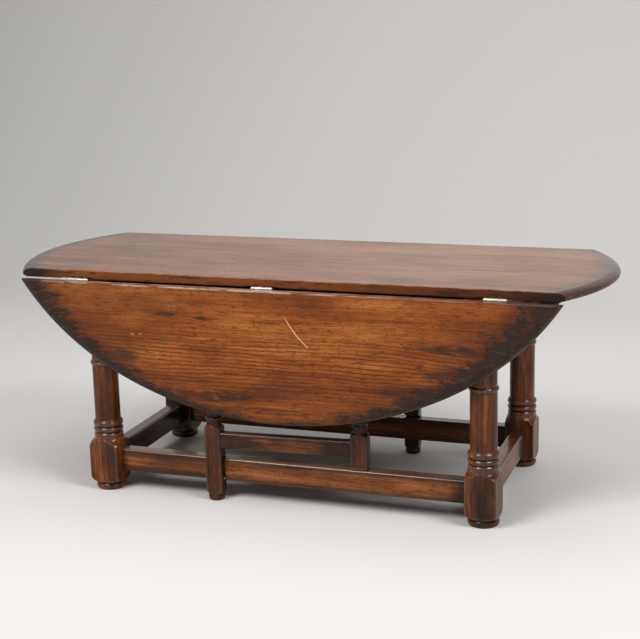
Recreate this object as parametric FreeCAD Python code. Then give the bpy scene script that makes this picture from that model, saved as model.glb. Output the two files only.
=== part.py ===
import FreeCAD, Part
import math
import os

V = FreeCAD.Vector

# Gateleg coffee table, millimetres. The origin is on the floor under the middle of the table,
# +X along its length, -Y to the front, +Z up. Both leaves hang and both gates stand a little open.

# Oval board, sawn into a centre top and two leaves
table_height = 460.0
oval_length = 1220.0
oval_width = 959.0
centre_width = 428.0
board_thickness = 17.5
leaf_gap = 2.0              # between the centre top and a raised leaf
edge_reach = 20.0           # thumbnail edge: how far in from the outline the round-over starts
edge_drop = 11.5            # depth of the outline below the top face
edge_undercut = 10.0        # how far in the underside ends
edge_steps = 4              # sections from the outline to either face
worn_arris = 2.0            # rounding along the hinge edges

# Legs: turned from square stock
leg_spacing = 784.0         # along the length, between leg axes
leg_setback = 3.25          # from the hinge edge of the centre top to the leg's face
leg_side = 61.5
leg_corner = 2.0
foot_radius = 30.6
foot_height = 13.5
foot_round = 3.0
foot_groove = 27.5
block_bottom = 16.0
block_height = 87.0
shoulder_drop = 22.0
collar_radius = 32.0
collar_lip = 1.5
cove_height = 6.5
flare_height = 9.0          # hollow from the lower block's collar up to the roll
roll_radius = 29.6
roll_height = 7.5
bead_radius = 30.2
bead_groove = 26.2
middle_bead = 11.5
upper_bead = 12.0
shaft_radius = 25.8
shaft_flare = 2.4
shaft_flare_height = 7.0
ring_bottom = 262.0
ring_height = 9.5
ring_radius = 28.6
neck_radius = 25.4
top_block_height = 100.0

# Stretchers and frieze rails
stretcher_bottom = 38.5
stretcher_height = 46.0
stretcher_thickness = 30.0
stretcher_setback = 22.0    # behind the front face of the leg blocks
stretcher_round = 4.5
frieze_height = 75.0
frieze_thickness = 26.0
rail_round = 2.0
tenon_length = 22.0
tenon_thickness = 11.0
tenon_shoulder = 7.0
mortise_clearance = 0.1
mortise_spare = 1.0

# Gates
pivot_x = 147.5             # front pivot post, to the right of the middle
gate_radius = 298.6         # from the pivot axis to the gate leg's axis
gate_ajar = 3.4             # degrees open at rest
gate_leg_width = 32.0
gate_leg_depth = 32.0
gate_leg_chamfer = 2.5
gate_foot_lift = 0.5
gate_foot_height = 12.0
gate_foot_radius = 16.7
gate_block_top = 155.0
gate_shoulder = 13.0
gate_neck = 15.0
gate_bead_radius = 16.8
gate_bead_height = 10.0
gate_neck_height = 8.0
gate_shaft = 12.5
gate_upper_block = 134.0
leaf_rest_gap = 0.5         # from the gate leg's top to the underside of a raised leaf
lap_depth = 15.0            # notch in the stretcher's front face
lap_clearance = 0.5
lap_height_gap = 2.5
notch_side_gap = 3.0
post_width = 34.0
post_depth = 30.0
post_chamfer = 2.0
post_block_top = 157.3
post_ring_radius = 15.6
post_neck = 14.2
post_upper_block = 60.0
post_end_gap = 1.5
pintle_radius = 7.0
pintle_length = 18.0
pintle_clearance = 0.08
gate_rail_bottom = 110.0
gate_rail_height = 31.0
gate_rail_thickness = 20.0
gate_rail_setback = 3.0     # behind the pivot post's front face
gate_upper_gap = 8.0        # from the upper rail to the frieze rail
gate_tenon_length = 15.0
gate_tenon_thickness = 8.0
gate_tenon_shoulder = 4.0
lathe_spare = 0.3           # from the corners of gate stock to the turned outline

# Hinges, screws and buttons
end_hinge_x = 420.0
middle_hinge_x = -29.0
hinge_length = 41.0
knuckle_count = 5
knuckle_gap = 0.3
barrel_radius = 3.5
barrel_relief = 0.75
pin_radius = 1.5
pin_clearance = 0.05
pin_head_radius = 2.6
pin_head_thickness = 1.0
pin_drop = 1.9              # pin axis below the boards' underside
plate_thickness = 2.0
top_plate_reach = 32.0
leaf_plate_reach = 46.0
plate_clearance = 0.1
scoop_length = 84.0         # hollow in the top's lower edge that clears a hinge barrel
scoop_height = 4.0
scoop_depth = 6.0
screw_length = 13.0
screw_radius = 1.75
screw_head_radius = 3.6
screw_head_depth = 1.9
screw_point = 4.0
screw_slot = 0.9
screw_clearance = 0.05
plate_screw_side = 12.0     # from the plate's middle to its outer screws
plate_screw_edge = 10.0     # from the plate's far edge to its screws
button_spacing = 440.0
button_width = 28.0
button_reach = 30.0
button_height = 18.0
button_tongue = 8.0
tongue_height = 6.0
tongue_clearance = 0.2
button_gap = 1.0
button_screw_length = 28.0

# Places worked out from the sizes above
under_top = table_height - board_thickness
hinge_edge = -centre_width / 2
pin_y = hinge_edge - leaf_gap / 2
pin_z = under_top - pin_drop
leg_x = leg_spacing / 2
leg_front = hinge_edge + leg_setback
leg_y = leg_front + leg_side / 2
block_top = block_bottom + block_height
roll_bottom = block_top + collar_lip + flare_height
bead_bottom = roll_bottom + roll_height
bead_top = bead_bottom + middle_bead
shaft_bottom = bead_top + upper_bead
top_block_bottom = under_top - top_block_height
rail_reach = leg_x - leg_side / 2
stretcher_top = stretcher_bottom + stretcher_height
stretcher_front = leg_front + stretcher_setback
pivot_y = stretcher_front + stretcher_thickness / 2
frieze_bottom = under_top - frieze_height
lap_y = stretcher_front + lap_depth
gate_leg_x = pivot_x - gate_radius
gate_leg_y = stretcher_front + gate_leg_depth / 2
gate_top = under_top - leaf_rest_gap
post_bottom = stretcher_top + post_end_gap
post_top = frieze_bottom - post_end_gap
gate_rail_front = pivot_y - post_depth / 2 + gate_rail_setback
gate_upper_bottom = frieze_bottom - gate_upper_gap - gate_rail_height
barrel_gain = barrel_radius + barrel_relief
knuckle_pitch = hinge_length / knuckle_count
half = math.sqrt(0.5)


def box(x0, x1, y0, y1, z0, z1):
    return Part.makeBox(x1 - x0, y1 - y0, z1 - z0, V(x0, y0, z0))


def rod(x0, x1, radius):
    # A round bar along the hinge pin's axis
    return Part.makeCylinder(radius, x1 - x0, V(x0, pin_y, pin_z), V(1, 0, 0))


def edges_along(shape, axis):
    found = []
    for edge in shape.Edges:
        first, last = edge.Vertexes[0].Point, edge.Vertexes[-1].Point
        if abs((last - first).dot(axis)) > 0.999 * (last - first).Length:
            found.append(edge)
    return found


def turned(path):
    # A solid of revolution about Z. A step is (r, z) for a line or (r, z, r, z) for an arc by its middle.
    here = V(path[0][0], 0, path[0][1])
    edges = []
    for step in path[1:]:
        there = V(step[-2], 0, step[-1])
        if len(step) == 4:
            edges.append(Part.Arc(here, V(step[0], 0, step[1]), there).toShape())
        else:
            edges.append(Part.LineSegment(here, there).toShape())
        here = there
    for there in (V(0, 0, here.z), V(0, 0, path[0][1]), V(path[0][0], 0, path[0][1])):
        if (there - here).Length > 0:
            edges.append(Part.LineSegment(here, there).toShape())
        here = there
    return Part.Face(Part.Wire(edges)).revolve(V(0, 0, 0), V(0, 0, 1), 360)


def level_to_upright(r0, z0, r1, z1):
    # A quarter turn of the profile, with its start level and its end upright
    return (r0 + (r1 - r0) * half, z0 + (z1 - z0) * (1 - half), r1, z1)


def upright_to_level(r0, z0, r1, z1):
    return (r1 + (r0 - r1) * half, z1 - (z1 - z0) * (1 - half), r1, z1)


def rounding(x0, x1, y, z, radius, side):
    # What a plane takes off an arris that runs along X; side is the Y direction of the wood
    waste = box(x0, x1, min(y, y + side * radius), max(y, y + side * radius), z - radius, z)
    left = Part.makeCylinder(radius, x1 - x0, V(x0, y + side * radius, z - radius), V(1, 0, 0))
    return waste.cut(left)


def opposite(shape):
    # The same piece on the other side of the table
    turned_round = shape.copy()
    turned_round.rotate(V(0, 0, 0), V(0, 0, 1), 180)
    return turned_round


def hang(shape):
    # From the raised place of the front leaf to the hanging one
    hung = shape.copy()
    hung.rotate(V(0, pin_y, pin_z), V(1, 0, 0), 90)
    return hung


def moved(shape, x, y, z):
    copy = shape.copy()
    copy.translate(V(x, y, z))
    return copy


# Oval board
def oval_board():
    outline_z = table_height - edge_drop
    sections = []
    for step in range(-edge_steps, edge_steps + 1):
        turn = math.radians(90) * step / edge_steps
        inset = (edge_reach if step > 0 else edge_undercut) * (1 - math.cos(turn))
        rise = (edge_drop if step > 0 else board_thickness - edge_drop) * math.sin(turn)
        ring = Part.Ellipse(V(0, 0, outline_z + rise), oval_length / 2 - inset, oval_width / 2 - inset)
        sections.append(Part.Wire(ring.toShape()))
    # The smooth skin swells a little past its end rings, so both faces are planed flat
    faces = box(-oval_length, oval_length, -oval_width, oval_width, under_top, table_height)
    return Part.makeLoft(sections, True, False).common(faces).removeSplitter()


# Screws
def screw_path(length, spare):
    return [(screw_head_radius + spare, 0),
            (screw_radius + spare, screw_head_depth),
            (screw_radius + spare, length - screw_point),
            (spare, length)]


def screw(length):
    slot = box(-screw_head_radius, screw_head_radius, -screw_slot / 2, screw_slot / 2, 0, screw_slot)
    return turned(screw_path(length, 0)).cut(slot)


def screw_hole(length):
    return turned(screw_path(length, screw_clearance))


# Hinge, in its place at x = 0 with the leaf raised
def knuckles(first):
    barrels = []
    for index in range(first, knuckle_count, 2):
        x0 = -hinge_length / 2 + index * knuckle_pitch + knuckle_gap / 2
        x1 = x0 + knuckle_pitch - knuckle_gap
        barrels.append((x0, x1))
    return barrels


def hinge_plate(first, reach, side, screw_places):
    inner = pin_y + side * (barrel_gain + plate_clearance)
    outer = pin_y + side * reach
    wide = hinge_length / 2
    plate = box(-wide, wide, min(inner, outer), max(inner, outer), under_top, under_top + plate_thickness)
    for x0, x1 in knuckles(first):
        web = box(x0, x1, min(pin_y, inner), max(pin_y, inner), under_top, under_top + plate_thickness)
        plate = plate.fuse([web, rod(x0, x1, barrel_radius)])
    plate = plate.removeSplitter().cut(rod(-hinge_length, hinge_length, pin_radius + pin_clearance))
    for x, y in screw_places:
        plate = plate.cut(moved(screw_hole(screw_length), x, y, under_top))
    return plate


def hinge_pin():
    pin = rod(-hinge_length / 2, hinge_length / 2, pin_radius)
    for end in (-hinge_length / 2 - pin_head_thickness, hinge_length / 2):
        pin = pin.fuse(rod(end, end + pin_head_thickness, pin_head_radius))
    return pin.removeSplitter()


def hinge_gain(reach, side):
    # The recess for a plate and the room for the barrel
    wide = hinge_length / 2 + plate_clearance
    outer = pin_y + side * (reach + plate_clearance)
    plate = box(-wide, wide, min(pin_y, outer), max(pin_y, outer),
                under_top, under_top + plate_thickness + plate_clearance)
    end = hinge_length / 2 + pin_head_thickness + barrel_relief
    return plate.fuse(rod(-end, end, barrel_gain))


def hinge_scoop():
    radius = (scoop_length ** 2 / 4 + scoop_height ** 2) / (2 * scoop_height)
    return Part.makeCylinder(radius, scoop_depth, V(0, hinge_edge, under_top + scoop_height - radius), V(0, 1, 0))


top_screw_y = pin_y + top_plate_reach - plate_screw_edge
leaf_screw_y = pin_y - leaf_plate_reach + plate_screw_edge
top_screws = [(-plate_screw_side, top_screw_y), (plate_screw_side, top_screw_y)]
leaf_screws = [(-plate_screw_side, leaf_screw_y + 2 * plate_screw_edge),
               (plate_screw_side, leaf_screw_y + 2 * plate_screw_edge),
               (0, leaf_screw_y)]
hinge_places = [("left", "right", -end_hinge_x),
                ("middle", "middle", middle_hinge_x),
                ("right", "left", end_hinge_x)]


# Legs
def leg_blank():
    square = leg_side * half
    flare = top_block_bottom - collar_lip - cove_height
    path = [(foot_radius - foot_round, 0),
            (foot_radius, foot_height / 2, foot_radius - foot_round, foot_height),
            (foot_groove, foot_height),
            (foot_groove, block_bottom),
            (collar_radius, block_bottom),
            level_to_upright(collar_radius, block_bottom, square, block_bottom + shoulder_drop),
            (square, block_top - shoulder_drop),
            upright_to_level(square, block_top - shoulder_drop, collar_radius, block_top),
            (collar_radius, block_top + collar_lip),
            level_to_upright(collar_radius, block_top + collar_lip, roll_radius, roll_bottom),
            upright_to_level(roll_radius, roll_bottom, bead_groove, bead_bottom),
            (bead_radius, bead_bottom + middle_bead / 2, bead_groove, bead_top),
            (bead_radius, bead_top + upper_bead / 2, shaft_radius + shaft_flare, shaft_bottom),
            level_to_upright(shaft_radius + shaft_flare, shaft_bottom, shaft_radius, shaft_bottom + shaft_flare_height),
            (shaft_radius, ring_bottom),
            (ring_radius, ring_bottom + ring_height / 2, neck_radius, ring_bottom + ring_height),
            (neck_radius, flare - middle_bead),
            (bead_radius, flare - middle_bead / 2, bead_groove, flare),
            upright_to_level(bead_groove, flare, collar_radius, top_block_bottom - collar_lip),
            (collar_radius, top_block_bottom),
            level_to_upright(collar_radius, top_block_bottom, square, top_block_bottom + shoulder_drop),
            (square, under_top)]
    stock = box(-leg_side / 2, leg_side / 2, -leg_side / 2, leg_side / 2, 0, under_top)
    stock = stock.makeFillet(leg_corner, edges_along(stock, V(0, 0, 1)))
    return stock.common(turned(path))


def tenon(x0, x1, y, z0, z1, spare):
    # Along X; with spare it is the mortise that takes it
    thick = tenon_thickness / 2 + spare
    return box(x0, x1, y - thick, y + thick, z0 + tenon_shoulder - spare, z1 - tenon_shoulder + spare)


def turned_to_y(shape):
    # From along X to along Y
    copy = shape.copy()
    copy.rotate(V(0, 0, 0), V(0, 0, 1), 90)
    return copy


rail_levels = [(stretcher_bottom, stretcher_top), (frieze_bottom, under_top)]
end_reach = abs(leg_y) - leg_side / 2


def front_leg(side):
    # side is -1 for the left leg and 1 for the right leg
    leg = moved(leg_blank(), side * leg_x, leg_y, 0)
    deep = tenon_length + mortise_spare
    for low, high in rail_levels:
        inner, outer = sorted((side * rail_reach, side * (rail_reach + deep)))
        leg = leg.cut(tenon(inner, outer, pivot_y, low, high, mortise_clearance))
        leg = leg.cut(turned_to_y(tenon(-end_reach - deep, -end_reach, -side * leg_x, low, high,
                                        mortise_clearance)))
    return leg


# Stretchers and frieze rails
def rail(reach, y, thickness, low, high, top_round):
    # A rail along X between two legs, with its tenons
    bar = box(-reach, reach, y - thickness / 2, y + thickness / 2, low, high)
    upper = [edge for edge in edges_along(bar, V(1, 0, 0)) if edge.CenterOfMass.z > (low + high) / 2]
    bar = bar.makeFillet(top_round, upper)
    lower = [edge for edge in edges_along(bar, V(1, 0, 0)) if edge.CenterOfMass.z < low + rail_round]
    bar = bar.makeFillet(rail_round, lower)
    ends = tenon(-reach - tenon_length, reach + tenon_length, y, low, high, 0)
    return bar.fuse(ends).removeSplitter()


def gate_notch(low, high):
    wide = gate_leg_width / 2 + notch_side_gap
    return box(gate_leg_x - wide, gate_leg_x + wide, leg_front, lap_y, low, high)


def pintle_hole(z):
    hole = Part.makeCylinder(pintle_radius + pintle_clearance, 2 * (pintle_length + mortise_spare))
    return moved(hole, pivot_x, pivot_y, z - pintle_length - mortise_spare)


def front_stretcher():
    bar = rail(rail_reach, pivot_y, stretcher_thickness, stretcher_bottom, stretcher_top, stretcher_round)
    bar = bar.cut(gate_notch(stretcher_bottom, stretcher_top))
    return bar.cut(pintle_hole(stretcher_top))


def tongue_slot(x, y, side):
    # The mortise in a frieze rail's inner face for a button's tongue; side points into the rail
    deep = y + side * (button_tongue + mortise_spare)
    low = under_top - button_height
    return box(x - button_width / 2 - button_gap, x + button_width / 2 + button_gap,
               min(y, deep), max(y, deep), low - tongue_clearance, low + tongue_height + tongue_clearance)


frieze_inner = pivot_y + frieze_thickness / 2
button_x = [-button_spacing / 2, button_spacing / 2]


def front_frieze_rail():
    bar = rail(rail_reach, pivot_y, frieze_thickness, frieze_bottom, under_top, rail_round)
    bar = bar.cut(gate_notch(frieze_bottom, under_top))
    bar = bar.cut(pintle_hole(frieze_bottom))
    for x in button_x:
        bar = bar.cut(tongue_slot(x, frieze_inner, -1))
    return bar


def left_rail(thickness, low, high, top_round):
    return turned_to_y(rail(end_reach, leg_x, thickness, low, high, top_round))


def left_frieze_rail():
    bar = rail(end_reach, leg_x, frieze_thickness, frieze_bottom, under_top, rail_round)
    return turned_to_y(bar.cut(tongue_slot(0, leg_x - frieze_thickness / 2, 1)))


# Buttons that hold the top down
def button():
    # Against a rail whose inner face is at y = 0, reaching to +Y
    low = under_top - button_height
    wide = button_width / 2
    body = box(-wide, wide, button_gap, button_reach, low, under_top)
    body = body.fuse(box(-wide, wide, -button_tongue, button_gap, low, low + tongue_height))
    return body.removeSplitter().cut(moved(screw_hole(button_screw_length), 0, button_reach / 2, low))


def button_places(shape):
    front = [moved(shape, x, frieze_inner, 0) for x in button_x]
    left = turned_to_y(moved(shape, 0, -(leg_x - frieze_thickness / 2), 0))
    right_way = [opposite(piece) for piece in front]
    return front + right_way + [opposite(left), left]


# Gates, closed
def corner_reach(width, depth, chamfer):
    # A turned outline of this radius just clears the corners of chamfered stock
    return math.hypot(max(width, depth) / 2, min(width, depth) / 2 - chamfer) + lathe_spare


def gate_leg():
    square = corner_reach(gate_leg_width, gate_leg_depth, gate_leg_chamfer)
    narrow = gate_leg_depth / 2
    low = gate_foot_lift
    foot_top = low + gate_foot_height
    bead = gate_block_top + gate_neck_height
    upper = gate_top - gate_upper_block
    upper_bead = upper - gate_neck_height - gate_bead_height
    path = [(gate_neck, low),
            (gate_foot_radius, low + gate_foot_height / 2, gate_neck, foot_top),
            (narrow, foot_top),
            level_to_upright(narrow, foot_top, square, foot_top + gate_shoulder),
            (square, gate_block_top - gate_shoulder),
            upright_to_level(square, gate_block_top - gate_shoulder, narrow, gate_block_top),
            (gate_neck, gate_block_top),
            (gate_neck, bead),
            (gate_bead_radius, bead + gate_bead_height / 2, gate_neck, bead + gate_bead_height),
            (gate_shaft, bead + gate_bead_height),
            (gate_shaft, upper_bead),
            (gate_neck, upper_bead),
            (gate_bead_radius, upper_bead + gate_bead_height / 2, gate_neck, upper_bead + gate_bead_height),
            (gate_neck, upper),
            (narrow, upper),
            level_to_upright(narrow, upper, square, upper + gate_shoulder),
            (square, gate_top)]
    stock = box(-gate_leg_width / 2, gate_leg_width / 2, -narrow, narrow, low, gate_top)
    stock = stock.makeChamfer(gate_leg_chamfer, edges_along(stock, V(0, 0, 1)))
    leg = moved(stock.common(turned(path)), gate_leg_x, gate_leg_y, 0)
    for lap_low, lap_high in ((stretcher_bottom - lap_height_gap, stretcher_top + lap_height_gap),
                              (frieze_bottom - lap_height_gap, under_top)):
        leg = leg.cut(box(gate_leg_x - gate_leg_width, gate_leg_x + gate_leg_width,
                          lap_y - lap_clearance, gate_leg_y + gate_leg_depth, lap_low, lap_high))
    for z in (gate_rail_bottom, gate_upper_bottom):
        leg = leg.cut(gate_tenons(z, mortise_clearance, mortise_spare))
    return leg


def pivot_post():
    square = corner_reach(post_width, post_depth, post_chamfer)
    narrow = post_depth / 2
    bead = post_block_top + gate_neck_height
    upper = post_top - post_upper_block
    upper_bead = upper - gate_neck_height - gate_bead_height
    path = [(pintle_radius, post_bottom - pintle_length),
            (pintle_radius, post_bottom),
            (square, post_bottom),
            (square, post_block_top - gate_shoulder),
            upright_to_level(square, post_block_top - gate_shoulder, narrow, post_block_top),
            (post_neck, post_block_top),
            (post_neck, bead),
            (post_ring_radius, bead + gate_bead_height / 2, post_neck, bead + gate_bead_height),
            (post_neck, upper_bead),
            (post_ring_radius, upper_bead + gate_bead_height / 2, post_neck, upper_bead + gate_bead_height),
            (post_neck, upper),
            (narrow, upper),
            level_to_upright(narrow, upper, square, upper + gate_shoulder),
            (square, post_top),
            (pintle_radius, post_top),
            (pintle_radius, post_top + pintle_length)]
    stock = box(-post_width / 2, post_width / 2, -narrow, narrow,
                post_bottom - pintle_length, post_top + pintle_length)
    stock = stock.makeChamfer(post_chamfer, edges_along(stock, V(0, 0, 1)))
    post = moved(stock.common(turned(path)), pivot_x, pivot_y, 0)
    for z in (gate_rail_bottom, gate_upper_bottom):
        post = post.cut(gate_tenons(z, mortise_clearance, mortise_spare))
    return post


gate_inner = gate_leg_x + gate_leg_width / 2
post_inner = pivot_x - post_width / 2


def gate_tenons(z, spare, longer):
    # The tenons at both ends of a gate rail in one bar; with spare it cuts their mortises
    thick = gate_tenon_thickness / 2 + spare
    middle = gate_rail_front + gate_rail_thickness / 2
    reach = gate_tenon_length + longer
    return box(gate_inner - reach, post_inner + reach, middle - thick, middle + thick,
               z + gate_tenon_shoulder - spare, z + gate_rail_height - gate_tenon_shoulder + spare)


def gate_rail(z):
    bar = box(gate_inner, post_inner, gate_rail_front, gate_rail_front + gate_rail_thickness,
              z, z + gate_rail_height)
    bar = bar.makeFillet(rail_round, edges_along(bar, V(1, 0, 0)))
    return bar.fuse(gate_tenons(z, 0, 0)).removeSplitter()


def ajar(shape):
    opened = shape.copy()
    opened.rotate(V(pivot_x, pivot_y, 0), V(0, 0, 1), gate_ajar)
    return opened


# Assembly
pieces = {}


def both_sides(name, shape):
    pieces["front_" + name] = shape
    pieces["rear_" + name] = opposite(shape)


board = oval_board()
far = oval_length
leaf = board.common(box(-far, far, -far, hinge_edge - leaf_gap, 0, far))
leaf = leaf.cut(rounding(-far, far, hinge_edge - leaf_gap, table_height, worn_arris, -1))
centre = board.common(box(-far, far, hinge_edge, -hinge_edge, 0, far))
worn = rounding(-far, far, hinge_edge, table_height, worn_arris, 1)
centre = centre.cut([worn, opposite(worn)])

top_plate = hinge_plate(0, top_plate_reach, 1, top_screws)
leaf_plate = hinge_plate(1, leaf_plate_reach, -1, leaf_screws)
hinge_screw = screw(screw_length)
top_fasteners = []
leaf_fasteners = []
for front_place, rear_place, hinge_x in hinge_places:
    for hollow in (hinge_gain(top_plate_reach, 1), hinge_scoop()):
        hollow = moved(hollow, hinge_x, 0, 0)
        centre = centre.cut([hollow, opposite(hollow)])
    leaf = leaf.cut(moved(hinge_gain(leaf_plate_reach, -1), hinge_x, 0, 0))
    for x, y in top_screws:
        hole = moved(screw_hole(screw_length), hinge_x + x, y, under_top)
        centre = centre.cut([hole, opposite(hole)])
        top_fasteners.append(moved(hinge_screw, hinge_x + x, y, under_top))
    for x, y in leaf_screws:
        leaf = leaf.cut(moved(screw_hole(screw_length), hinge_x + x, y, under_top))
        leaf_fasteners.append(moved(hinge_screw, hinge_x + x, y, under_top))
    for name, shape in (("top_plate", top_plate), ("leaf_plate", hang(leaf_plate)), ("pin", hinge_pin())):
        shape = moved(shape, hinge_x, 0, 0)
        pieces["front_" + front_place + "_hinge_" + name] = shape
        pieces["rear_" + rear_place + "_hinge_" + name] = opposite(shape)

button_low = under_top - button_height
button_screw = moved(screw(button_screw_length), 0, button_reach / 2, button_low)
button_hole = moved(screw_hole(button_screw_length), 0, button_reach / 2, button_low)
centre = centre.cut(button_places(button_hole))

pieces["centre_top"] = centre
both_sides("leaf", hang(leaf))
both_sides("hinge_top_screws", Part.makeCompound(top_fasteners))
both_sides("hinge_leaf_screws", hang(Part.makeCompound(leaf_fasteners)))
pieces["top_buttons"] = Part.makeCompound(button_places(button()))
pieces["button_screws"] = Part.makeCompound(button_places(button_screw))

pieces["front_left_leg"] = front_leg(-1)
pieces["front_right_leg"] = front_leg(1)
pieces["rear_right_leg"] = opposite(pieces["front_left_leg"])
pieces["rear_left_leg"] = opposite(pieces["front_right_leg"])
both_sides("stretcher", front_stretcher())
both_sides("frieze_rail", front_frieze_rail())
pieces["left_stretcher"] = left_rail(stretcher_thickness, stretcher_bottom, stretcher_top, stretcher_round)
pieces["right_stretcher"] = opposite(pieces["left_stretcher"])
pieces["left_frieze_rail"] = left_frieze_rail()
pieces["right_frieze_rail"] = opposite(pieces["left_frieze_rail"])

both_sides("gate_leg", ajar(gate_leg()))
both_sides("gate_pivot_post", ajar(pivot_post()))
both_sides("gate_lower_rail", ajar(gate_rail(gate_rail_bottom)))
both_sides("gate_upper_rail", ajar(gate_rail(gate_upper_bottom)))

os.makedirs("parts", exist_ok=True)
for name, shape in pieces.items():
    shape.exportStep("parts/" + name + ".step")
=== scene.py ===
import math

import bpy
from mathutils import Matrix, Vector

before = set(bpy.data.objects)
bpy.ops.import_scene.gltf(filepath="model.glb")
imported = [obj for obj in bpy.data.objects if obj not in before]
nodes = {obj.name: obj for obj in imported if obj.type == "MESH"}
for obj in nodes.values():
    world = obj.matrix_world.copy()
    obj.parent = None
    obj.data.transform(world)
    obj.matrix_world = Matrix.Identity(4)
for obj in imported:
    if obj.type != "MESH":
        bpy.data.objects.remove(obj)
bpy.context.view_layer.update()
print("frame loaded:", len(nodes), "nodes")


# Small helpers for shader trees
def put(tree, kind, inputs=None, **settings):
    node = tree.nodes.new(kind)
    for key, value in settings.items():
        setattr(node, key, value)
    for key, value in (inputs or {}).items():
        if isinstance(value, bpy.types.NodeSocket):
            tree.links.new(value, node.inputs[key])
        else:
            node.inputs[key].default_value = value
    return node


def calc(tree, operation, first, second=0.0, clamp=False):
    node = put(tree, "ShaderNodeMath", {0: first, 1: second}, operation=operation, use_clamp=clamp)
    return node.outputs[0]


def plus(tree, total, *others):
    for other in others:
        total = calc(tree, "ADD", total, other)
    return total


def minus(tree, first, second):
    return calc(tree, "SUBTRACT", first, second)


def times(tree, total, *others):
    for other in others:
        total = calc(tree, "MULTIPLY", total, other)
    return total


def most(tree, first, second):  # the larger of two
    return calc(tree, "MAXIMUM", first, second)


def plain(tree, value):  # without its sign
    return calc(tree, "ABSOLUTE", value)


def rest(tree, value):  # what is left of 1
    return minus(tree, 1.0, value)


def reach(tree, first, second):  # length of a flat vector
    return calc(tree, "SQRT", plus(tree, times(tree, first, first), times(tree, second, second)))


def rise(tree, value, start, stop):  # 0 before start, 1 past stop, soft between; start may be the larger
    limits = {0: value, 1: start, 2: stop, 3: 0.0, 4: 1.0}
    return put(tree, "ShaderNodeMapRange", limits, interpolation_type="SMOOTHSTEP").outputs[0]


def spread(tree, value, span, ends):  # straight from one end value to the other
    limits = {0: value, 1: span[0], 2: span[1], 3: ends[0], 4: ends[1]}
    return put(tree, "ShaderNodeMapRange", limits).outputs[0]


def cloud(tree, point, scale, move=(0, 0, 0), detail=3.0, rough=0.55):
    place = put(tree, "ShaderNodeMapping", {"Vector": point, "Location": move, "Scale": scale}).outputs[0]
    settings = {"Vector": place, "Scale": 1.0, "Detail": detail, "Roughness": rough}
    return put(tree, "ShaderNodeTexNoise", settings).outputs[0]


def wobble(tree, noise, amount):  # the noise about zero
    return times(tree, minus(tree, noise, 0.5), amount)


def tint(color):
    return (*color, 1.0)


def paint(tree, under, over, mask, amount=None):  # lays one colour over another where the mask is 1
    if amount is not None:
        mask = times(tree, mask, amount)
    return put(tree, "ShaderNodeMix", {0: mask, 6: under, 7: tint(over)}, data_type="RGBA").outputs[2]


def ramp(tree, value, stops):
    node = put(tree, "ShaderNodeValToRGB", {0: value})
    bar = node.color_ramp.elements
    while len(bar) < len(stops):
        bar.new(0.5)
    for element, (place, color) in zip(bar, stops):
        element.position = place
        element.color = tint(color)
    return node.outputs[0]


def startMaterial(name):
    material = bpy.data.materials.new(name)
    material.use_nodes = True
    tree = material.node_tree
    return material, tree, tree.nodes["Principled BSDF"]


# Oak: streaks, growth lines, pores and fine cracks along one axis of the piece
oakFigure = {
    "sway": {"scale": (1.7, 5, 5), "detail": 2.0},
    "ripple": {"scale": (13, 40, 46)},
    "breaks": {"scale": (7, 70, 90), "detail": 2.0},
    "streaks": {"scale": (5, 90, 130), "detail": 5.0, "rough": 0.7},
    "patches": {"scale": (3.5, 9, 14)},
    "zones": {"scale": (1.2, 4, 6), "detail": 1.0},
    "pores": {"scale": (44, 330, 380), "detail": 2.0},
    "specks": {"scale": (150, 300, 340), "detail": 1.0},
    "crackZones": {"scale": (46, 80, 90), "move": (4, 2, 8), "detail": 2.0},
    "lineSpan": (0.42, 1.0), "breakSpan": (0.24, 0.50), "zoneSpan": (0.35, 0.65),
    "toneStops": (0.375, 0.50, 0.61), "poreSpan": (0.53, 0.65), "speckSpan": (0.62, 0.72),
    "crackCells": (48, 100, 92), "crackWidth": (0.09, 0.02), "crackSpan": (0.54, 0.63),
}


def oak(tree, look):
    here = put(tree, "ShaderNodeTexCoord").outputs["Object"]
    axes = dict(zip("xyz", put(tree, "ShaderNodeSeparateXYZ", {0: here}).outputs))
    along, across, depth = (axes[letter] for letter in look["grain"])
    point = put(tree, "ShaderNodeCombineXYZ", {0: along, 1: depth, 2: across}).outputs[0]

    def figure(name):
        return cloud(tree, point, **{"move": look["shift"], **oakFigure[name]})

    def masked(value, name):
        return rise(tree, value, *oakFigure[name])

    sway = times(tree, figure("sway"), look["sway"])
    ripple = times(tree, figure("ripple"), look["ripple"])
    ring = plus(tree, across, sway, ripple)
    wave = calc(tree, "SINE", times(tree, ring, 2 * math.pi / look["period"]))
    lines = times(tree, masked(wave, "lineSpan"), masked(figure("breaks"), "breakSpan"))
    lineAmount = times(tree, lines, masked(figure("zones"), "zoneSpan"), look["lines"])
    streaks = times(tree, figure("streaks"), look["streaky"])
    patches = times(tree, figure("patches"), 1.0 - look["streaky"])
    tones = [look[tone] for tone in ("dark", "mid", "light")]
    color = ramp(tree, plus(tree, streaks, patches), list(zip(oakFigure["toneStops"], tones)))
    pores = masked(figure("pores"), "poreSpan")
    color = paint(tree, color, look["pore"], pores, look["pores"])
    color = paint(tree, color, look["pore"], masked(figure("specks"), "speckSpan"), look["specks"])
    bent = put(tree, "ShaderNodeMapping", {"Vector": point, "Scale": oakFigure["crackCells"]}).outputs[0]
    cells = put(tree, "ShaderNodeTexVoronoi", {"Vector": bent, "Scale": 1.0}, feature="DISTANCE_TO_EDGE")
    crack = times(tree, masked(cells.outputs[0], "crackWidth"), masked(figure("crackZones"), "crackSpan"))
    color = paint(tree, color, look["pore"], crack, look["cracks"])
    return {"axes": axes, "point": point, "color": color, "lines": lines, "lineAmount": lineAmount,
            "pores": pores, "crack": crack}


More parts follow.
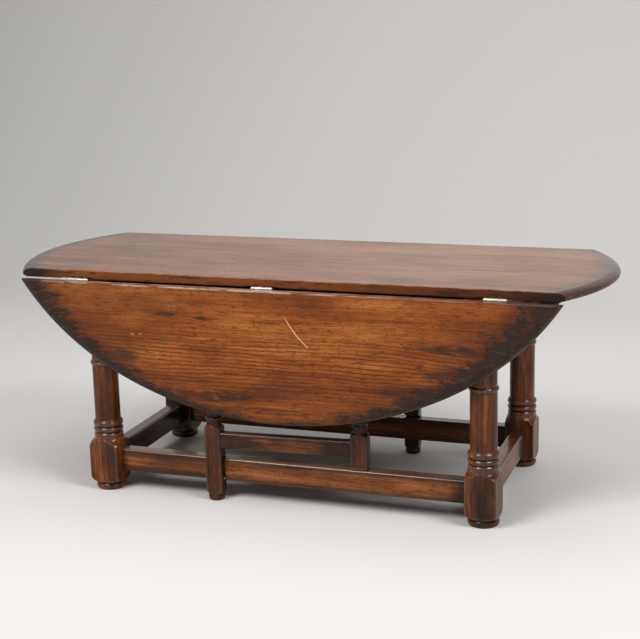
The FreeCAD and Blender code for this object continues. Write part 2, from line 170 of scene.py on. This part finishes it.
def closeness(tree, inside, distance):  # how near the piece's own wood is: arrises inside, grooves outside
    settings = {"only_local": True, "inside": inside, "samples": 8}
    clearing = put(tree, "ShaderNodeAmbientOcclusion", {"Distance": distance}, **settings)
    return rest(tree, clearing.outputs["AO"])


# Wax, dents and softened arrises on all the wood
waxFinish = {
    "rub": {"scale": (12, 40, 40)}, "rubSpan": (0.3, 0.7), "dents": {"scale": (22, 45, 45), "detail": 2.0},
    "dullRough": 0.35, "bump": 0.6, "bumpDepth": 0.001, "arrisSamples": 6,
}


def finishWood(tree, shader, wood, color, look, coat, dull=None):
    rub = cloud(tree, wood["point"], move=look["shift"], **waxFinish["rub"])
    rough = spread(tree, rub, waxFinish["rubSpan"], look["gloss"])
    if dull is not None:
        rough = plus(tree, rough, times(tree, dull, waxFinish["dullRough"]))
    height = times(tree, cloud(tree, wood["point"], move=look["shift"], **waxFinish["dents"]), look["dents"])
    for mark in ("lines", "pores", "crack"):
        height = minus(tree, height, times(tree, wood[mark], look["relief"]))
    bevel = put(tree, "ShaderNodeBevel", {"Radius": look["soft"]}, samples=waxFinish["arrisSamples"])
    edge = bevel.outputs[0]
    relief = {"Height": height, "Normal": edge, "Strength": waxFinish["bump"],
              "Distance": waxFinish["bumpDepth"]}
    bump = put(tree, "ShaderNodeBump", relief).outputs[0]
    sockets = {"Base Color": color, "Roughness": rough, "Normal": bump, "Coat Weight": coat,
               "Coat Normal": edge}
    for name, value in sockets.items():
        tree.links.new(value, shader.inputs[name])
    shader.inputs["Specular IOR Level"].default_value = look["shine"]
    shader.inputs["Coat Roughness"].default_value = look["waxRough"]


openOval = {"halfLength": 0.610, "halfWidth": 0.4795}  # the table with both leaves up
smudgeEdge = {"jag": 2.6, "span": (1.15, 0.5)}


def fromMiddle(tree, x, y):  # 0 in the middle of the oval, 1 on its outline
    along = calc(tree, "DIVIDE", x, openOval["halfLength"])
    return reach(tree, along, calc(tree, "DIVIDE", y, openOval["halfWidth"]))


def smudge(tree, first, second, jag, spot):  # a ragged dark patch: middle, half sizes and strength
    middleFirst, middleSecond, halfFirst, halfSecond, strength = spot
    u = calc(tree, "DIVIDE", minus(tree, first, middleFirst), halfFirst)
    v = calc(tree, "DIVIDE", minus(tree, second, middleSecond), halfSecond)
    away = plus(tree, reach(tree, u, v), wobble(tree, jag, smudgeEdge["jag"]))
    return times(tree, rise(tree, away, *smudgeEdge["span"]), strength)


# Centre top; spans named for heights and widths are in metres, as are all places
topLook = {
    "grain": "xyz", "shift": (0.3, 0.1, 0.7), "sway": 0.05, "ripple": 0.006, "period": 0.017, "streaky": 0.55,
    "dark": (0.090, 0.031, 0.011), "mid": (0.172, 0.066, 0.026), "light": (0.258, 0.110, 0.047),
    "pore": (0.026, 0.010, 0.006), "pores": 0.35, "specks": 0.4, "lines": 0.35, "cracks": 0.10,
    "gloss": (0.24, 0.36), "dents": 0.22, "relief": 0.08, "shine": 0.12, "wax": 0.66, "waxRough": 0.20,
    "soft": 0.0015, "stain": (0.016, 0.010, 0.008), "worn": (0.47, 0.26, 0.15), "red": (0.150, 0.041, 0.009),
    "deep": (0.046, 0.011, 0.003),
    "jag": {"scale": (16, 40, 60), "move": (2, 0, 1), "detail": 4.0, "rough": 0.62},
    "ragged": {"scale": (22, 60, 90), "move": (0, 3, 5), "detail": 4.0, "rough": 0.62},
    "flecks": {"scale": (26, 170, 90), "move": (4, 1, 2), "detail": 4.0, "rough": 0.68},
    "rubs": {"scale": (30, 60, 60)},
    "streaks": [(0.36, -0.045, 0.10, 0.010, 0.5), (0.25, -0.155, 0.05, 0.006, 0.6),
                (0.44, 0.11, 0.07, 0.008, 0.4), (-0.30, -0.06, 0.12, 0.012, 0.4),
                (-0.05, 0.05, 0.14, 0.010, 0.35), (-0.48, 0.04, 0.06, 0.02, 0.4)],
    "sideWidth": (0.2128, 0.2136), "sideRed": 0.85,
    "ringJag": 0.09, "ringSpan": (0.905, 0.985), "ringStain": 0.88,
    "lipHeight": (0.4535, 0.4500), "lipSpan": (0.46, 0.58), "lipRed": 0.9,
    "shadeLength": (-0.05, 0.45), "sideDeep": 0.72,
    "endJag": 0.16, "endLength": (0.50, 0.60), "lowJag": 0.006, "lowHeight": (0.4425, 0.4395),
    "fleckSpan": (0.53, 0.62), "fleckStain": 0.75, "sideDarkening": 0.9,
    "arris": 0.004, "arrisSpan": (0.14, 0.36), "rubSpan": (0.38, 0.6), "rubHeight": (0.4570, 0.4585),
    "rub": 0.75,
    "flatHeight": (0.4585, 0.4597), "edgeWax": 0.35, "rollHeight": (0.4490, 0.4560), "ringWax": 0.25,
    "bareWidth": (0.2108, 0.2130), "bare": 0.85, "bareWax": 0.9,
}


def makeTopOak(look):
    material, tree, shader = startMaterial("topOak")
    wood = oak(tree, look)
    x, y, z = (wood["axes"][letter] for letter in "xyz")
    jag, ragged, flecks, rubs = (cloud(tree, wood["point"], **look[name])
                                 for name in ("jag", "ragged", "flecks", "rubs"))
    color = paint(tree, wood["color"], look["pore"], wood["lineAmount"])
    for spot in look["streaks"]:
        color = paint(tree, color, look["pore"], smudge(tree, x, y, jag, spot))

    # reddish long sides, dark rounded ends
    side = rise(tree, plain(tree, y), *look["sideWidth"])
    color = paint(tree, color, look["red"], side, look["sideRed"])
    rim = plus(tree, fromMiddle(tree, x, y), wobble(tree, jag, look["ringJag"]))
    ring = times(tree, rise(tree, rim, *look["ringSpan"]), look["ringStain"])
    color = paint(tree, color, look["stain"], ring)
    lip = times(tree, ring, rise(tree, z, *look["lipHeight"]), rise(tree, ragged, *look["lipSpan"]))
    color = paint(tree, color, look["red"], lip, look["lipRed"])

    # long sides darker towards the right, at the ends, along the bottom and in flecks
    shade = times(tree, side, rise(tree, x, *look["shadeLength"]))
    color = paint(tree, color, look["deep"], shade, look["sideDeep"])
    ends = plus(tree, plain(tree, x), times(tree, jag, look["endJag"]))
    low = minus(tree, z, times(tree, ragged, look["lowJag"]))
    darkening = most(tree, rise(tree, ends, *look["endLength"]), rise(tree, low, *look["lowHeight"]))
    darkening = most(tree, darkening, times(tree, rise(tree, flecks, *look["fleckSpan"]), look["fleckStain"]))
    color = paint(tree, color, look["stain"], times(tree, side, darkening), look["sideDarkening"])

    # upper arris rubbed pale: wear with a painted highlight along the arris
    high = rise(tree, z, *look["rubHeight"])
    arris = rise(tree, closeness(tree, True, look["arris"]), *look["arrisSpan"])
    rubbedHighlight = times(tree, arris, rise(tree, rubs, *look["rubSpan"]), high)
    color = paint(tree, color, look["worn"], rubbedHighlight, look["rub"])

    # wax: full on the flat and the rounded ends, little on the long sides
    dull = times(tree, side, rest(tree, high))
    flat = times(tree, rise(tree, z, *look["flatHeight"]), 1.0 - look["edgeWax"])
    flat = plus(tree, flat, look["edgeWax"])
    flat = most(tree, flat, times(tree, ring, rise(tree, z, *look["rollHeight"])))
    coat = times(tree, plus(tree, times(tree, ring, look["ringWax"]), look["wax"]), flat)
    bare = times(tree, rise(tree, plain(tree, y), *look["bareWidth"]), look["bare"])
    bare = times(tree, most(tree, dull, bare), look["bareWax"])
    finishWood(tree, shader, wood, color, look, times(tree, coat, rest(tree, bare)), dull)
    return material


# Leaves
leafLook = {
    "grain": "xzy", "shift": (0.9, 0.4, 0.2), "sway": 0.06, "ripple": 0.0048, "period": 0.0078,
    "streaky": 0.40,
    "dark": (0.108, 0.025, 0.004), "mid": (0.242, 0.061, 0.008), "light": (0.360, 0.115, 0.022),
    "pore": (0.022, 0.009, 0.004), "pores": 0.55, "specks": 0.75, "lines": 0.10, "cracks": 0.42,
    "gloss": (0.30, 0.46), "dents": 0.4, "relief": 0.3, "shine": 0.18, "wax": 0.02, "waxRough": 0.2,
    "soft": 0.0012, "stain": (0.015, 0.010, 0.008), "worn": (0.31, 0.21, 0.165),
    "deep": (0.080, 0.019, 0.005), "line": (0.050, 0.014, 0.004), "scratch": (0.75, 0.45, 0.24),
    "fleck": (0.052, 0.026, 0.015), "bareEdge": (0.070, 0.046, 0.029),
    "shades": {"scale": (3.2, 7, 11), "move": (5, 2, 6), "rough": 0.6},
    "jag": {"scale": (14, 30, 44), "move": (3, 1, 4), "detail": 6.0, "rough": 0.68},
    "mottle": {"scale": (30, 60, 90), "move": (1, 6, 2), "detail": 4.0, "rough": 0.7},
    "fray": {"scale": (42, 90, 110), "move": (7, 3, 1), "detail": 4.0, "rough": 0.72},
    "rubs": {"scale": (20, 50, 50), "move": (2, 7, 0), "detail": 4.0, "rough": 0.65},
    "smudges": [(-0.225, 0.385, 0.028, 0.006, 0.75), (-0.145, 0.381, 0.030, 0.005, 0.75),
                (-0.01, 0.379, 0.035, 0.005, 0.7), (0.36, 0.346, 0.06, 0.011, 0.8),
                (0.43, 0.368, 0.05, 0.022, 0.7), (0.27, 0.262, 0.09, 0.013, 0.8),
                (-0.13, 0.226, 0.11, 0.013, 0.85), (0.33, 0.300, 0.05, 0.009, 0.75),
                (-0.33, 0.296, 0.05, 0.014, 0.7), (0.02, 0.205, 0.09, 0.008, 0.4)],
    "lineHeight": (0.368, 0.335), "lineFade": (0.262, 0.222), "lineFaded": 0.6, "lineWeight": 0.78,
    "shadeSpan": (0.46, 0.68), "shadeLeft": (-0.15, -0.55), "shade": 0.55, "smudgeSpan": (0.30, 0.55),
    "pinSum": 0.6556,  # half width when up plus height when hanging, the same for every point of a leaf
    "rimJag": 0.15, "rimFray": 0.13,
    "rimRight": ((0.12, 0.50), 0.042), "rimLeft": ((-0.30, -0.52), 0.026), "rimSides": ((0.02, 0.24), 0.045),
    "rimSpan": (0.935, 1.0), "rimDeep": 0.75, "borderSpan": (0.988, 1.014), "borderGaps": (0.26, 0.46),
    "borderClosed": (0.975, 0.99), "borderStain": 0.93, "fleckSpan": (0.52, 0.64), "flecked": 0.7,
    "edgeSpan": (0.9875, 0.9925), "edgeGaps": (0.30, 0.52), "edgeBare": 0.8,
    "upperHeight": (0.4382, 0.4398), "upperJag": 0.004, "upperDeep": 0.7, "upperWax": 0.5,
    "tipLength": (0.36, 0.50), "tipStain": 0.85, "tipRub": 0.6, "rubSpan": (0.36, 0.56), "rub": 0.8,
    "rubLength": (-0.05, 0.30), "rubLess": 0.62, "frontFace": (-0.2335, -0.2340),
    "arc": {"middle": (0.188, 0.478), "radius": 0.186, "width": (0.0010, 0.0004), "lowEnd": (0.3345, 0.3375),
            "highEnd": (0.3990, 0.3790), "leftOf": (0.188, 0.178)},
    "pale": {"places": [(-0.298, 0.3415), (-0.281, 0.3425)], "halfSize": (0.0045, 0.0012), "soft": (1.0, 0.6),
             "strength": 0.42},
}


def leafScratches(tree, wood, look):  # a long arc and two pale marks on the front
    x, y, z = (wood["axes"][letter] for letter in "xyz")
    front = rise(tree, y, *look["frontFace"])
    arc, pale = look["arc"], look["pale"]
    away = reach(tree, minus(tree, x, arc["middle"][0]), minus(tree, z, arc["middle"][1]))
    cut = rise(tree, plain(tree, minus(tree, away, arc["radius"])), *arc["width"])
    for value, end in ((z, "lowEnd"), (z, "highEnd"), (x, "leftOf")):
        cut = times(tree, cut, rise(tree, value, *arc[end]))
    cut = times(tree, cut, front)
    halfWide, halfTall = pale["halfSize"]
    for markX, markZ in pale["places"]:
        wide = calc(tree, "DIVIDE", plain(tree, minus(tree, x, markX)), halfWide)
        tall = calc(tree, "DIVIDE", plain(tree, minus(tree, z, markZ)), halfTall)
        mark = times(tree, rise(tree, most(tree, wide, tall), *pale["soft"]), front, pale["strength"])
        cut = most(tree, cut, mark)
    return cut


def makeLeafOak(look):
    material, tree, shader = startMaterial("leafOak")
    wood = oak(tree, look)
    x, z = wood["axes"]["x"], wood["axes"]["z"]
    shades, jag, mottle, fray, rubs = (cloud(tree, wood["point"], **look[name])
                                       for name in ("shades", "jag", "mottle", "fray", "rubs"))

    # deeper patches, growth lines on the lower half, dark smudges
    fade = rest(tree, times(tree, rise(tree, z, *look["lineFade"]), look["lineFaded"]))
    lower = times(tree, rise(tree, z, *look["lineHeight"]), fade, look["lineWeight"])
    lined = most(tree, times(tree, wood["lines"], lower), wood["lineAmount"])
    patches = rise(tree, shades, *look["shadeSpan"])
    patches = calc(tree, "ADD", patches, rise(tree, x, *look["shadeLeft"]), clamp=True)
    color = paint(tree, wood["color"], look["deep"], patches, look["shade"])
    color = paint(tree, color, look["line"], lined)
    for spot in look["smudges"]:
        patch = times(tree, smudge(tree, x, z, jag, spot), rise(tree, mottle, *look["smudgeSpan"]))
        color = paint(tree, color, look["stain"], patch)

    # ragged dark border along the curved edge
    outline = fromMiddle(tree, x, minus(tree, look["pinSum"], z))
    rim = plus(tree, outline, wobble(tree, jag, look["rimJag"]), wobble(tree, fray, look["rimFray"]))
    for value, name in ((x, "rimRight"), (x, "rimLeft"), (plain(tree, x), "rimSides")):
        length, wider = look[name]
        rim = plus(tree, rim, times(tree, rise(tree, value, *length), wider))
    color = paint(tree, color, look["deep"], rise(tree, rim, *look["rimSpan"]), look["rimDeep"])
    closed = most(tree, rise(tree, mottle, *look["borderGaps"]), rise(tree, outline, *look["borderClosed"]))
    border = times(tree, rise(tree, rim, *look["borderSpan"]), closed)
    color = paint(tree, color, look["stain"], border, look["borderStain"])
    flecks = times(tree, border, rise(tree, mottle, *look["fleckSpan"]))
    color = paint(tree, color, look["fleck"], flecks, look["flecked"])
    edge = times(tree, rise(tree, outline, *look["edgeSpan"]), rise(tree, mottle, *look["edgeGaps"]))
    color = paint(tree, color, look["bareEdge"], edge, look["edgeBare"])

    # upper arris, darker, rubbed pale in its middle: the pale rub is wear with a painted reflection
    upper = rise(tree, plus(tree, z, times(tree, mottle, look["upperJag"])), *look["upperHeight"])
    color = paint(tree, color, look["deep"], upper, look["upperDeep"])
    tips = rise(tree, plain(tree, x), *look["tipLength"])
    color = paint(tree, color, look["stain"], times(tree, upper, tips), look["tipStain"])
    rubbedHighlight = rise(tree, rubs, *look["rubSpan"])
    rubbedHighlight = calc(tree, "SUBTRACT", rubbedHighlight, times(tree, tips, look["tipRub"]), clamp=True)
    less = times(tree, rise(tree, x, *look["rubLength"]), look["rubLess"])
    rubbedHighlight = times(tree, upper, rubbedHighlight, minus(tree, look["rub"], less))
    color = paint(tree, color, look["worn"], rubbedHighlight)

    color = paint(tree, color, look["scratch"], leafScratches(tree, wood, look))
    coat = plus(tree, times(tree, rubbedHighlight, look["upperWax"]), look["wax"])
    finishWood(tree, shader, wood, color, look, coat)
    return material


# Turned legs, rails and gates
frameWear = {  # the same on every piece of the frame
    "smoke": {"scale": (9, 24, 24), "move": (1, 4, 2), "detail": 4.0, "rough": 0.62},
    "tips": {"scale": (16, 30, 30), "move": (4, 4, 0)},
    "rims": {"scale": (20, 40, 40), "move": (6, 1, 3)},
    "edges": {"scale": (14, 30, 30), "move": (3, 5, 1)},
    "rubs": {"scale": (26, 50, 50)},
    "smokeSpan": (0.47, 0.64), "tipJag": 0.05, "tipLength": (-0.1, 0.1), "tipLonger": 0.025, "tipDirt": 0.85,
    "rimJag": 0.016, "rimDirt": 0.75, "edgeReach": 0.016, "edgeSpan": (0.12, 0.36), "edgeGaps": (0.34, 0.56),
    "grooveReach": 0.010, "grooveSpan": (0.12, 0.45), "grooveWidth": (0.0026, 0.0004), "grooveShadeAndWax": 0.9,
    "leafShadowDepth": 0.8, "leafShadowFade": (0.19, 0.25), "leafShadowFaded": 0.65, "rubSpan": (0.36, 0.58),
    "levelDepth": (0.003, 0.0005), "sheenDust": 0.45, "sheenDustLength": (0.08, 0.28), "sheenDustLess": 0.35,
    "bandSoft": 0.004,
}
legLook = {
    "grain": "zxy", "shift": (0.2, 0.8, 0.5), "sway": 0.02, "ripple": 0.004, "period": 0.009, "streaky": 0.38,
    "dark": (0.022, 0.006, 0.002), "mid": (0.106, 0.027, 0.004), "light": (0.270, 0.082, 0.019),
    "pore": (0.013, 0.006, 0.003), "pores": 0.45, "specks": 0.5, "lines": 0.25, "cracks": 0.3,
    "gloss": (0.28, 0.42), "dents": 0.3, "relief": 0.2, "shine": 0.10, "wax": 0.25, "waxRough": 0.12,
    "soft": 0.0018, "grimeAndShade": (0.009, 0.006, 0.005), "worn": (0.22, 0.10, 0.05),
    "sheenDusty": (0.180, 0.098, 0.058),
    "smoke": 0.48, "edges": 0.5, "rub": 0.15, "arris": 0.007, "corner": (0.10, 0.30), "polish": 0.55,
    "paintedShade": {"x": (-0.02, -0.10), "y": (0.02, 0.10)}, "paintedShadeStrength": 0.45,
    "bands": [(0.103, 0.141), (0.2585, 0.272)],  # polished beads, by height
    "grooves": [0.0148, 0.121, 0.1325, 0.262, 0.2715, 0.323, 0.3345],
}


def makeFrameOak(name, look):
    material, tree, shader = startMaterial(name)
    wood = oak(tree, look)
    axes, grimeAndShade, wear = wood["axes"], look["grimeAndShade"], frameWear
    x, z = axes["x"], axes["z"]

    def patchy(kind):
        return cloud(tree, wood["point"], **wear[kind])

    color = paint(tree, wood["color"], look["pore"], wood["lineAmount"])
    color = paint(tree, color, grimeAndShade, rise(tree, patchy("smoke"), *wear["smokeSpan"]), look["smoke"])
    # painted shade and dark wax in the grooves and hollows
    groove = rise(tree, closeness(tree, False, wear["grooveReach"]), *wear["grooveSpan"])
    for height in look.get("grooves", []):
        near = plain(tree, minus(tree, z, height))
        groove = most(tree, groove, rise(tree, near, *wear["grooveWidth"]))
    color = paint(tree, color, grimeAndShade, groove, wear["grooveShadeAndWax"])
    corner = rise(tree, closeness(tree, True, look["arris"]), *look["corner"])
    if "ends" in look:  # dark towards the joints
        run = axes[look["grain"][0]]
        longer = times(tree, rise(tree, run, *wear["tipLength"]), wear["tipLonger"])
        tip = plus(tree, plain(tree, run), longer, times(tree, patchy("tips"), wear["tipJag"]))
        tip = rise(tree, tip, *look["ends"])
        color = paint(tree, color, grimeAndShade, tip, wear["tipDirt"])
        corner = times(tree, corner, rest(tree, tip))
    if "rims" in look:  # dark towards the upper and lower edges
        away = plain(tree, minus(tree, z, look["rims"]["middle"]))
        away = plus(tree, away, times(tree, patchy("rims"), wear["rimJag"]))
        color = paint(tree, color, grimeAndShade, rise(tree, away, *look["rims"]["span"]), wear["rimDirt"])
    if "leafShadow" in look:  # painted shadow of the leaf: dark neck above a gate piece's block
        fade = times(tree, rise(tree, z, *wear["leafShadowFade"]), wear["leafShadowFaded"])
        leafShadow = times(tree, rise(tree, z, *look["leafShadow"]), minus(tree, wear["leafShadowDepth"], fade))
        color = paint(tree, color, grimeAndShade, leafShadow)
    if "paintedShade" in look:  # painted shade: darker on the left, the legs only at the rear
        paintedShade = times(tree, *(rise(tree, axes[letter], *span) for letter, span in look["paintedShade"].items()))
        color = paint(tree, color, grimeAndShade, paintedShade, look["paintedShadeStrength"])

    # grimy along the edges, rubbed on the arrises: the rubbed arrises are wear with a painted highlight
    wide = rise(tree, closeness(tree, True, wear["edgeReach"]), *wear["edgeSpan"])
    wide = times(tree, wide, rise(tree, patchy("edges"), *wear["edgeGaps"]))
    color = paint(tree, color, grimeAndShade, wide, look["edges"])
    bright = corner
    if "level" in look:  # dust and a painted reflection on a level upper face
        upper = rise(tree, z, *(look["level"] - depth for depth in wear["levelDepth"]))
        bright = most(tree, bright, upper)
        less = times(tree, rise(tree, x, *wear["sheenDustLength"]), wear["sheenDustLess"])
        color = paint(tree, color, look["sheenDusty"], times(tree, upper, minus(tree, wear["sheenDust"], less)))
    # rubbed arrises: wear with a painted highlight
    rubbedHighlight = times(tree, corner, rise(tree, patchy("rubs"), *wear["rubSpan"]))
    color = paint(tree, color, look["worn"], rubbedHighlight, look["rub"])
    for low, high in look.get("bands", []):
        above = rise(tree, z, low, low + wear["bandSoft"])
        bright = most(tree, bright, times(tree, above, rise(tree, z, high + wear["bandSoft"], high)))
    coat = plus(tree, times(tree, bright, look["polish"]), look["wax"])
    finishWood(tree, shader, wood, color, look, coat)
    return material


# What each kind of frame piece has of its own
plainLook = {key: value for key, value in legLook.items() if key not in ("grooves", "paintedShade", "bands")}
railLook = dict(
    plainLook, grain="xzy", shift=(0.6, 0.3, 0.1), dark=(0.050, 0.013, 0.003), mid=(0.160, 0.045, 0.009),
    light=(0.330, 0.108, 0.028), sheenDusty=(0.290, 0.165, 0.095), ends=(0.365, 0.405), level=0.0845,
    rims={"middle": 0.0615, "span": (0.013, 0.030)}, corner=(0.17, 0.42), polish=0.9, rub=0.4, edges=0.0,
    smoke=0.2)
endRailLook = dict(
    plainLook, grain="yzx", shift=(0.1, 0.9, 0.4), ends=(0.10, 0.15), level=0.0845, gloss=(0.32, 0.38),
    wax=0.4, edges=0.3, paintedShade={"x": (-0.02, -0.10)}, paintedShadeStrength=0.55)
gateLegLook = dict(
    plainLook, shift=(0.7, 0.2, 0.9), mid=(0.122, 0.033, 0.006), leafShadow=(0.150, 0.162), smoke=0.3)
postLook = dict(
    plainLook, shift=(0.5, 0.9, 0.1), dark=(0.014, 0.004, 0.002), mid=(0.066, 0.015, 0.003),
    light=(0.150, 0.036, 0.008), leafShadow=(0.140, 0.170))
upperGateRailLook = dict(
    plainLook, grain="xzy", shift=(0.4, 0.6, 0.3), mid=(0.105, 0.024, 0.004), ends=(0.09, 0.14), smoke=0.75,
    edges=0.35)
gateRailLook = dict(upperGateRailLook, level=0.141)
friezeLook = dict(plainLook, grain="xzy", shift=(0.8, 0.1, 0.6), mid=(0.115, 0.031, 0.006))
endFriezeLook = dict(friezeLook, grain="yzx", shift=(0.2, 0.5, 0.9))
frameLooks = {
    "leg": legLook, "rail": railLook, "endRail": endRailLook, "frieze": friezeLook,
    "endFrieze": endFriezeLook, "gateLeg": gateLegLook, "post": postLook, "gateRail": gateRailLook,
    "upperGateRail": upperGateRailLook,
}

# Hinges and screws
metalSurface = {
    "spots": {"scale": (60, 160, 160)}, "tarnishSpan": (0.45, 0.75), "glossSpan": (0.35, 0.65),
    "brush": {"scale": (40, 900, 900), "detail": 2.0}, "bump": 0.04, "bumpDepth": 0.0003,
}
brassLook = {"metal": (0.46, 0.42, 0.36), "tarnish": (0.28, 0.23, 0.17), "gloss": (0.40, 0.48)}
steelLook = {"metal": (0.32, 0.30, 0.27), "tarnish": (0.09, 0.06, 0.04), "gloss": (0.35, 0.6)}


def makeMetal(name, look):
    material, tree, shader = startMaterial(name)
    here = put(tree, "ShaderNodeTexCoord").outputs["Object"]
    spots = cloud(tree, here, **metalSurface["spots"])
    tarnish = rise(tree, spots, *metalSurface["tarnishSpan"])
    relief = {"Height": cloud(tree, here, **metalSurface["brush"]), "Strength": metalSurface["bump"],
              "Distance": metalSurface["bumpDepth"]}
    sockets = {
        "Base Color": paint(tree, tint(look["metal"]), look["tarnish"], tarnish),
        "Roughness": spread(tree, spots, metalSurface["glossSpan"], look["gloss"]),
        "Normal": put(tree, "ShaderNodeBump", relief).outputs[0],
    }
    for socket, value in sockets.items():
        tree.links.new(value, shader.inputs[socket])
    shader.inputs["Metallic"].default_value = 1.0
    return material


finishes = {"top": makeTopOak(topLook), "leaf": makeLeafOak(leafLook)}
for kind, look in frameLooks.items():
    finishes[kind] = makeFrameOak(kind + "Oak", look)
finishes["brass"] = makeMetal("hingeBrass", brassLook)
finishes["steel"] = makeMetal("screwSteel", steelLook)


def finishOf(name):
    if "screws" in name:
        return "steel"
    if "hinge" in name:
        return "brass"
    if name == "centre_top":
        return "top"
    if name in ("front_leaf", "rear_leaf"):
        return "leaf"
    if "gate" in name:
        for ending, finish in (("upper_rail", "upperGateRail"), ("rail", "gateRail"), ("post", "post")):
            if name.endswith(ending):
                return finish
        return "gateLeg"
    if "frieze" in name:
        return "endFrieze" if name.startswith(("left", "right")) else "frieze"
    if name.startswith(("left", "right")):
        return "endRail"
    return "rail" if name.endswith("stretcher") else "leg"


for name, node in nodes.items():
    node.data.materials.clear()
    node.data.materials.append(finishes[finishOf(name)])
print("finishes given to the nodes")

# Floor with a swept-up back
floorLook = {
    "halfWidth": 6.0, "front": -6.0, "foot": 1.6, "sweep": 1.2, "steps": 12, "height": 4.0,
    "color": (0.52, 0.507, 0.494), "rough": 0.9, "fadeSide": (2.7, 4.2), "fadeFront": (-2.4, -4.0),
}


def makeFloor(look):
    bpy.ops.object.select_all(action="DESELECT")
    bpy.ops.mesh.primitive_plane_add(size=1.0)
    floor = bpy.context.object
    floor.name = "floor"
    profile = [(look["front"], 0.0), (look["foot"], 0.0)]
    for step in range(1, look["steps"] + 1):
        turn = math.radians(90 * step / look["steps"])
        profile.append((look["foot"] + look["sweep"] * math.sin(turn), look["sweep"] * (1 - math.cos(turn))))
    profile.append((look["foot"] + look["sweep"], look["height"]))
    corners = [(side * look["halfWidth"], y, z) for y, z in profile for side in (-1, 1)]
    faces = [(2 * i, 2 * i + 1, 2 * i + 3, 2 * i + 2) for i in range(len(profile) - 1)]
    floor.data.clear_geometry()
    floor.data.from_pydata(corners, [], faces)
    bpy.ops.object.shade_smooth()

    # seen from its upper side only, and faded out at the sides and in front
    material, tree, shader = startMaterial("paleFloor")
    shader.inputs["Base Color"].default_value = tint(look["color"])
    shader.inputs["Roughness"].default_value = look["rough"]
    behind = put(tree, "ShaderNodeNewGeometry").outputs["Backfacing"]
    here = put(tree, "ShaderNodeTexCoord").outputs["Object"]
    x, y = put(tree, "ShaderNodeSeparateXYZ", {0: here}).outputs[:2]
    faded = most(tree, rise(tree, plain(tree, x), *look["fadeSide"]), rise(tree, y, *look["fadeFront"]))
    clear = put(tree, "ShaderNodeBsdfTransparent").outputs[0]
    both = put(tree, "ShaderNodeMixShader", {0: most(tree, behind, faded), 1: shader.outputs[0], 2: clear})
    tree.links.new(both.outputs[0], tree.nodes["Material Output"].inputs["Surface"])
    floor.data.materials.append(material)


makeFloor(floorLook)

# Soft lamps, all turned to the middle of the table
lampAim = Vector((0.0, 0.0, 0.3))
lamps = {
    "leftSoft": {"place": (-1.14, -2.34, 2.8), "size": 1.4, "power": 106},
    "rightSoft": {"place": (2.37, -1.07, 2.8), "size": 1.4, "power": 92},
    "overhead": {"place": (0.2, 0.2, 3.2), "size": 3.4, "power": 60},
}
for name, lamp in lamps.items():
    light = bpy.data.lights.new(name, "AREA")
    light.size = lamp["size"]
    light.energy = lamp["power"]
    lightObject = bpy.data.objects.new(name, light)
    bpy.context.scene.collection.objects.link(lightObject)
    lightObject.location = lamp["place"]
    aim = lampAim - Vector(lamp["place"])
    lightObject.rotation_euler = aim.to_track_quat("-Z", "Y").to_euler()

# Dim light from all round, and a paler backdrop for the camera and the reflections
studioLook = {"light": (0.80, 0.80, 0.80), "strength": 0.22, "backdrop": (0.60, 0.585, 0.57)}


def makeStudio(look):
    world = bpy.data.worlds.new("studio")
    world.use_nodes = True
    sky = world.node_tree
    soft = sky.nodes["Background"]
    soft.inputs["Color"].default_value = tint(look["light"])
    soft.inputs["Strength"].default_value = look["strength"]
    backdrop = put(sky, "ShaderNodeBackground", {"Color": tint(look["backdrop"])})
    rays = put(sky, "ShaderNodeLightPath").outputs
    seen = most(sky, rays["Is Camera Ray"], most(sky, rays["Is Glossy Ray"], rays["Is Transmission Ray"]))
    blend = put(sky, "ShaderNodeMixShader", {0: seen, 1: soft.outputs[0], 2: backdrop.outputs[0]})
    sky.links.new(blend.outputs[0], sky.nodes["World Output"].inputs["Surface"])
    bpy.context.scene.world = world


makeStudio(studioLook)
bpy.context.scene.view_settings.view_transform = "Standard"
print("floor and lamps placed")

# Camera at the photograph's viewing angle, angles in degrees, lens and sensor in millimetres
view = {
    "place": (0.951992, -2.636982, 0.992482), "yaw": 19.66036, "pitch": 13.24047, "roll": -1.44646,
    "lens": 79.2323, "sensor": 36.0,
}


def makeCamera(view):
    yaw, pitch, roll = (math.radians(view[key]) for key in ("yaw", "pitch", "roll"))
    forward = Vector((-math.sin(yaw) * math.cos(pitch), math.cos(yaw) * math.cos(pitch), -math.sin(pitch)))
    level = Vector((math.cos(yaw), math.sin(yaw), 0.0))
    upright = level.cross(forward)
    right = math.cos(roll) * level + math.sin(roll) * upright
    up = math.cos(roll) * upright - math.sin(roll) * level
    data = bpy.data.cameras.new("camera")
    data.sensor_width = view["sensor"]
    data.lens = view["lens"]
    camera = bpy.data.objects.new("camera", data)
    bpy.context.scene.collection.objects.link(camera)
    turn = Matrix((right, up, -forward)).transposed().to_4x4()
    camera.matrix_world = Matrix.Translation(view["place"]) @ turn
    bpy.context.scene.camera = camera


makeCamera(view)
print("camera placed")
